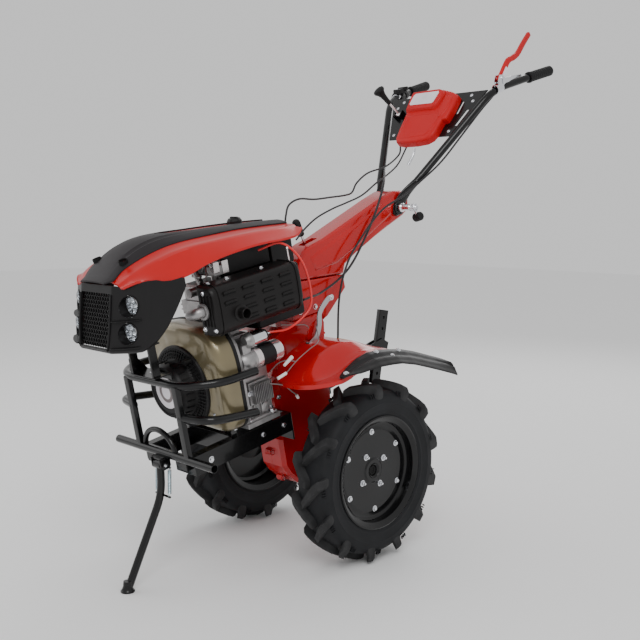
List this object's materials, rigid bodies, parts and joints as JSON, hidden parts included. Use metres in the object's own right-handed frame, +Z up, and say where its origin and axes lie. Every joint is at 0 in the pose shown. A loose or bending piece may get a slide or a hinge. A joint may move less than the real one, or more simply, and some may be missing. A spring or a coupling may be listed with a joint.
{
  "type": "tiller",
  "caption": "Two-wheel walking tractor tiller with a shrouded diesel engine, ag tyres, fenders, front guard and stand, swivelling boom and raised handlebars with levers.",
  "frame": {"origin": "On the ground, under the middle of the machine's overall box. The machine stands nose down on its two wheels and its front stand.", "axes": "+X across the machine along the wheel axle, towards the operator's left; +Y to the rear, towards the handgrips; +Z up"},
  "size_m": [0.7, 1.6502, 1.6484],
  "materials": {
    "red_paint": "gloss",
    "red_plastic": "gloss",
    "black_paint": "semi-gloss",
    "black_plastic": "satin",
    "rubber": "matte",
    "tyre_rubber": "matte",
    "khaki_paint": "gloss",
    "cast_aluminium": "as cast",
    "steel": "machined",
    "chrome": "polished",
    "lens": "clear",
    "cable_red": "satin"
  },
  "bodies": {
    "machine": {"air_filter": "black_plastic", "battery": "black_plastic", "battery_cable": "cable_red", "boom_base": "red_paint", "chassis_frame": "black_paint", "clutch_cable": "black_plastic", "clutch_housing": "red_paint", "crankcase": "cast_aluminium", "cylinder_head": "cast_aluminium", "exhaust_manifold": "cast_aluminium", "fan_shroud": "khaki_paint", "fender_edge_left": "black_plastic", "fender_edge_right": "black_plastic", "fender_left": "red_paint", "fender_right": "red_paint", "front_guard": "black_paint", "fuel_tank": "black_plastic", "gearbox_half_left": "red_paint", "gearbox_half_right": "red_paint", "grille": "black_plastic", "headlamp_left": "lens", "headlamp_right": "lens", "hitch_bracket": "black_paint", "hood_band": "black_plastic", "hood_cover": "red_plastic", "lamp_housing": "black_plastic", "lock_cable": "black_plastic", "muffler": "black_paint", "recoil_housing": "black_plastic", "stand_spring_left": "steel", "stand_spring_right": "steel", "starter_motor": "chrome", "throttle_cable": "black_plastic", "voltage_regulator": "cast_aluminium"},
    "stand": {"stand_leg": "black_paint"},
    "crank": {"crankshaft": "steel", "flywheel_fan": "cast_aluminium"},
    "wheels": {"axle_shaft": "steel", "axle_gear": "steel", "wheel_hub_left": "black_paint", "wheel_hub_right": "black_paint", "wheel_rim_left": "black_paint", "wheel_rim_right": "black_paint", "tyre_left": "tyre_rubber", "tyre_right": "tyre_rubber"},
    "pinion": {"final_pinion": "steel"},
    "cap": {"fuel_cap": "black_plastic"},
    "boom": {"handlebar_boom": "red_paint"},
    "lock": {"boom_lock_lever": "black_plastic"},
    "clamp": {"clamp_screw": "chrome"},
    "handlebars": {"handlebar_left": "black_paint", "handlebar_right": "black_paint", "control_plate": "black_paint", "control_cover": "red_plastic", "grip_left": "rubber", "grip_right": "rubber"},
    "shift": {"gear_lever": "black_plastic"},
    "clutch": {"clutch_lever": "red_plastic"},
    "throttle": {"throttle_lever": "black_plastic"},
    "drag": {"depth_bar": "black_paint"}
  },
  "joints": [
    {"name": "stand_fold", "type": "hinge", "parent": "machine", "child": "stand", "pos_m": [0, -0.62395, 0.33557], "axis": [1, 0, 0], "range_deg": [0, 95], "deforming": ["stand_spring_left", "stand_spring_right"]},
    {"name": "crank_turn", "type": "hinge", "parent": "machine", "child": "crank", "pos_m": [0, -0.43718, 0.56575], "axis": [0, 0.9788, 0.205], "continuous": true},
    {"name": "wheel_turn", "type": "hinge", "parent": "machine", "child": "wheels", "pos_m": [0, -0.06872, 0.27], "axis": [1, 0, 0], "continuous": true},
    {"name": "pinion_turn", "type": "hinge", "parent": "machine", "child": "pinion", "pos_m": [0, -0.10996, 0.37295], "axis": [1, 0, 0], "continuous": true},
    {"name": "cap_turn", "type": "hinge", "parent": "machine", "child": "cap", "pos_m": [0, -0.35805, 0.98793], "axis": [0, -0.205, 0.9788], "range_deg": [0, 90]},
    {"name": "boom_swivel", "type": "hinge", "parent": "machine", "child": "boom", "pos_m": [0, -0.05749, 0.82611], "axis": [0, -0.0785, 0.9969], "range_deg": [-30, 30], "deforming": ["clutch_cable", "throttle_cable", "lock_cable"]},
    {"name": "lock_release", "type": "hinge", "parent": "boom", "child": "lock", "pos_m": [0, -0.07023, 0.91131], "axis": [1, 0, 0], "range_deg": [-18, 0], "stiffness_Nm_per_rad": 1, "springref_deg": 22.92},
    {"name": "clamp_turn", "type": "hinge", "parent": "boom", "child": "clamp", "pos_m": [0, 0.29177, 1.04639], "axis": [1, 0, 0], "range_deg": [-180, 180]},
    {"name": "handlebar_tilt", "type": "hinge", "parent": "boom", "child": "handlebars", "pos_m": [0, 0.29177, 1.04639], "axis": [1, 0, 0], "range_deg": [-20, 15]},
    {"name": "gear_shift", "type": "hinge", "parent": "handlebars", "child": "shift", "pos_m": [-0.1325, 0.49846, 1.37792], "axis": [1, 0, 0], "range_deg": [-14, 14]},
    {"name": "clutch_pull", "type": "hinge", "parent": "handlebars", "child": "clutch", "pos_m": [0.237, 0.57851, 1.47733], "axis": [1, 0, 0], "range_deg": [-24, 0], "stiffness_Nm_per_rad": 3, "springref_deg": 22.92},
    {"name": "throttle_turn", "type": "hinge", "parent": "handlebars", "child": "throttle", "pos_m": [-0.2522, 0.65838, 1.47301], "axis": [-0.2267, 0.9182, 0.3247], "range_deg": [0, 40]},
    {"name": "drag_bar_slide", "type": "slide", "parent": "machine", "child": "drag", "axis": [0, -0.1556, -0.9878], "range_m": [-0.06, 0.06]}
  ],
  "couplings": [
    {"joint": "pinion_turn", "follows": "wheel_turn", "ratio": -2.1429}
  ]
}
